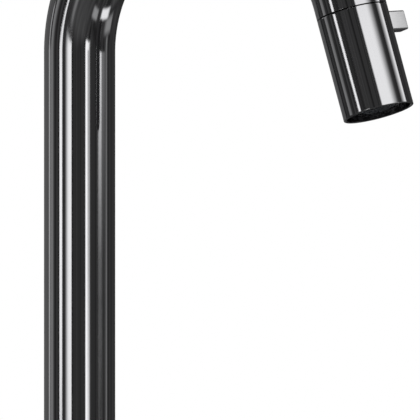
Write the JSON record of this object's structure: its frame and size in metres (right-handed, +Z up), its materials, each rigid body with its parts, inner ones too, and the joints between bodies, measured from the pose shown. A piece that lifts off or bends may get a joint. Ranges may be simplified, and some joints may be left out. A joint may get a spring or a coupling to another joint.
{
  "type": "basin mixer tap",
  "caption": "Deck-mounted gooseneck basin mixer tap in one slim dark tube, with a turning outlet section worked by a small side lever.",
  "frame": {"origin": "centre of the base ring on the deck's top face", "axes": "+Z up along the column, +X along the spout's reach towards the user, +Y to the user's right, where the lever points at rest"},
  "size_m": [0.2113, 0.061, 0.3597],
  "materials": {
    "black_chrome": "polished",
    "lever_chrome": "polished",
    "brass": "satin",
    "steel": "satin",
    "copper": "satin",
    "rubber": "matte",
    "ceramic": "polished",
    "pale_plastic": "satin",
    "grey_plastic": "satin"
  },
  "bodies": {
    "tap_body": {"spout_tube": "black_chrome", "base_ring": "black_chrome", "base_seal": "rubber", "base_plug": "brass", "fixing_shank": "brass", "rubber_washer": "rubber", "clamp_washer": "steel", "lock_nut": "brass", "hot_pipe": "copper", "cold_pipe": "copper", "pipe_seals": "rubber", "pipe_clips": "pale_plastic", "tip_adapter": "brass", "port_seals": "rubber", "cartridge_body": "grey_plastic", "cartridge_gasket": "rubber", "fixed_disc": "ceramic", "thrust_washer": "pale_plastic", "cartridge_cover": "grey_plastic", "retaining_nut": "brass", "glide_rings": "pale_plastic"},
    "outlet": {"outlet_sleeve": "black_chrome", "lever": "lever_chrome", "lever_screw": "steel", "moving_disc": "ceramic", "stem": "steel", "stem_seal": "rubber", "sleeve_seal": "rubber", "stem_circlip": "steel", "aerator_washer": "rubber", "aerator_housing": "pale_plastic", "aerator_strainer": "grey_plastic", "aerator_diffuser": "pale_plastic", "aerator_honeycomb": "grey_plastic"}
  },
  "joints": [
    {"name": "mixer_turn", "type": "hinge", "parent": "tap_body", "child": "outlet", "pos_m": [0.15456, 0, 0.23224], "axis": [0.294, 0, -0.9558], "range_deg": [0, 100]}
  ]
}
